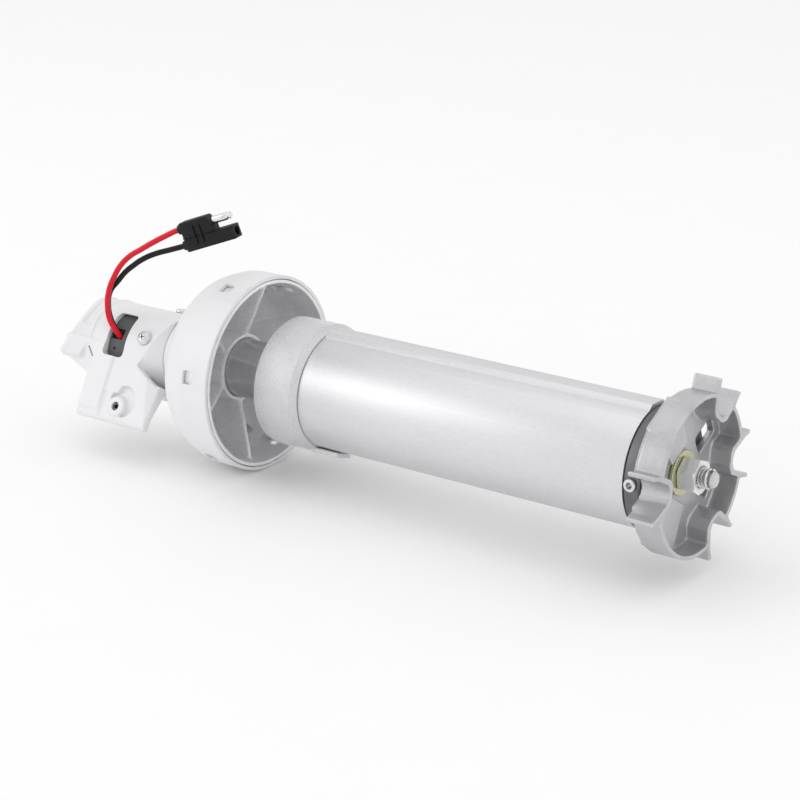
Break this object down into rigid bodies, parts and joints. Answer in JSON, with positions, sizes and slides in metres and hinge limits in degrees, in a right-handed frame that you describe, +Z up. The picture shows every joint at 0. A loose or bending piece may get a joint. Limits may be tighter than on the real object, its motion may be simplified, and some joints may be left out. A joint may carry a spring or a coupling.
{
  "type": "roller tube drive motor",
  "caption": "Tubular gear motor for a roller tube: white arm head with leads, end cap turning on the neck, long aluminium motor tube and castellated drive crown.",
  "frame": {"origin": "a point near the middle of the flat rear face of the head's leg, which seats against the arm", "axes": "+X along the motor axis toward the drive crown, +Z up, with the leg leaning 30 degrees about X toward -Y"},
  "size_m": [0.359, 0.097, 0.1289],
  "materials": {
    "white_paint": "white powder coat, satin",
    "zinc": "bright zinc plate",
    "steel": "turned steel",
    "dark_plastic": "dark grey moulding",
    "cast_aluminium": "as cast, fine grain",
    "sleeve_casting": "sand blasted casting",
    "satin_aluminium": "fine blasted, clear anodised",
    "black_plastic": "black moulding",
    "carbon": "carbon brush block",
    "can_steel": "grey coated steel",
    "magnet": "sintered ferrite",
    "core_steel": "bare steel",
    "copper": "copper",
    "dark_casting": "dark bare casting",
    "nylon": "natural nylon",
    "bronze": "sintered bronze",
    "yellow_zinc": "yellow chromate zinc plate",
    "red_pvc": "red wire insulation",
    "black_pvc": "black wire insulation",
    "black_rubber": "moulded black rubber",
    "pin_metal": "bright plated contact"
  },
  "bodies": {
    "motor_body": {"arm_head": "white_paint", "head_screw_top": "zinc", "head_screw_side": "zinc", "leg_set_screw": "steel", "window_plate": "dark_plastic", "motor_neck": "steel", "rear_sleeve": "sleeve_casting", "motor_tube": "satin_aluminium", "brush_holder": "black_plastic", "brush_upper": "carbon", "brush_lower": "carbon", "motor_can": "can_steel", "magnet_upper": "magnet", "magnet_lower": "magnet", "rotor_bearing_rear": "steel", "rotor_bearing_front": "steel", "ring_gear": "core_steel", "gearbox_flange": "dark_casting", "output_bearing": "steel", "flange_screw_1": "zinc", "flange_screw_2": "zinc", "flange_screw_3": "zinc", "red_lead": "red_pvc", "black_lead": "black_pvc", "connector_body": "black_rubber", "connector_pin": "pin_metal"},
    "end_cap": {"cap_casting": "cast_aluminium", "cap_cover": "white_paint"},
    "rotor": {"rotor_core": "core_steel", "rotor_shaft": "steel", "winding_rear": "copper", "winding_front": "copper", "commutator": "copper"},
    "first_carrier": {"carrier_first": "steel"},
    "output": {"drive_crown": "cast_aluminium", "output_shaft": "steel", "crown_washer": "yellow_zinc", "crown_nut": "zinc"},
    "first_planet_1": {"planet_first_1": "nylon"},
    "second_planet_1": {"planet_second_1": "bronze"},
    "first_planet_2": {"planet_first_2": "nylon"},
    "second_planet_2": {"planet_second_2": "bronze"},
    "first_planet_3": {"planet_first_3": "nylon"},
    "second_planet_3": {"planet_second_3": "bronze"}
  },
  "joints": [
    {"name": "output_spin", "type": "hinge", "parent": "motor_body", "child": "output", "pos_m": [0.28, 0.03166, 0.01983], "axis": [1, 0, 0], "continuous": true},
    {"name": "end_cap_spin", "type": "hinge", "parent": "motor_body", "child": "end_cap", "pos_m": [0.05, 0.03166, 0.01983], "axis": [1, 0, 0], "continuous": true},
    {"name": "rotor_spin", "type": "hinge", "parent": "motor_body", "child": "rotor", "pos_m": [0.16, 0.03166, 0.01983], "axis": [1, 0, 0], "continuous": true},
    {"name": "first_carrier_spin", "type": "hinge", "parent": "motor_body", "child": "first_carrier", "pos_m": [0.219, 0.03166, 0.01983], "axis": [1, 0, 0], "continuous": true},
    {"name": "first_planet_1_spin", "type": "hinge", "parent": "first_carrier", "child": "first_planet_1", "pos_m": [0.2115, 0.03166, 0.03333], "axis": [1, 0, 0], "continuous": true},
    {"name": "second_planet_1_spin", "type": "hinge", "parent": "output", "child": "second_planet_1", "pos_m": [0.2295, 0.03166, 0.03333], "axis": [1, 0, 0], "continuous": true},
    {"name": "first_planet_2_spin", "type": "hinge", "parent": "first_carrier", "child": "first_planet_2", "pos_m": [0.2115, 0.01997, 0.01308], "axis": [1, 0, 0], "continuous": true},
    {"name": "second_planet_2_spin", "type": "hinge", "parent": "output", "child": "second_planet_2", "pos_m": [0.2295, 0.01997, 0.01308], "axis": [1, 0, 0], "continuous": true},
    {"name": "first_planet_3_spin", "type": "hinge", "parent": "first_carrier", "child": "first_planet_3", "pos_m": [0.2115, 0.04335, 0.01308], "axis": [1, 0, 0], "continuous": true},
    {"name": "second_planet_3_spin", "type": "hinge", "parent": "output", "child": "second_planet_3", "pos_m": [0.2295, 0.04335, 0.01308], "axis": [1, 0, 0], "continuous": true}
  ],
  "couplings": [
    {"joint": "rotor_spin", "follows": "output_spin", "ratio": 25},
    {"joint": "first_carrier_spin", "follows": "output_spin", "ratio": 5},
    {"joint": "first_planet_1_spin", "follows": "output_spin", "ratio": -13.333},
    {"joint": "second_planet_1_spin", "follows": "output_spin", "ratio": -2.6667},
    {"joint": "first_planet_2_spin", "follows": "output_spin", "ratio": -13.333},
    {"joint": "second_planet_2_spin", "follows": "output_spin", "ratio": -2.6667},
    {"joint": "first_planet_3_spin", "follows": "output_spin", "ratio": -13.333},
    {"joint": "second_planet_3_spin", "follows": "output_spin", "ratio": -2.6667}
  ]
}
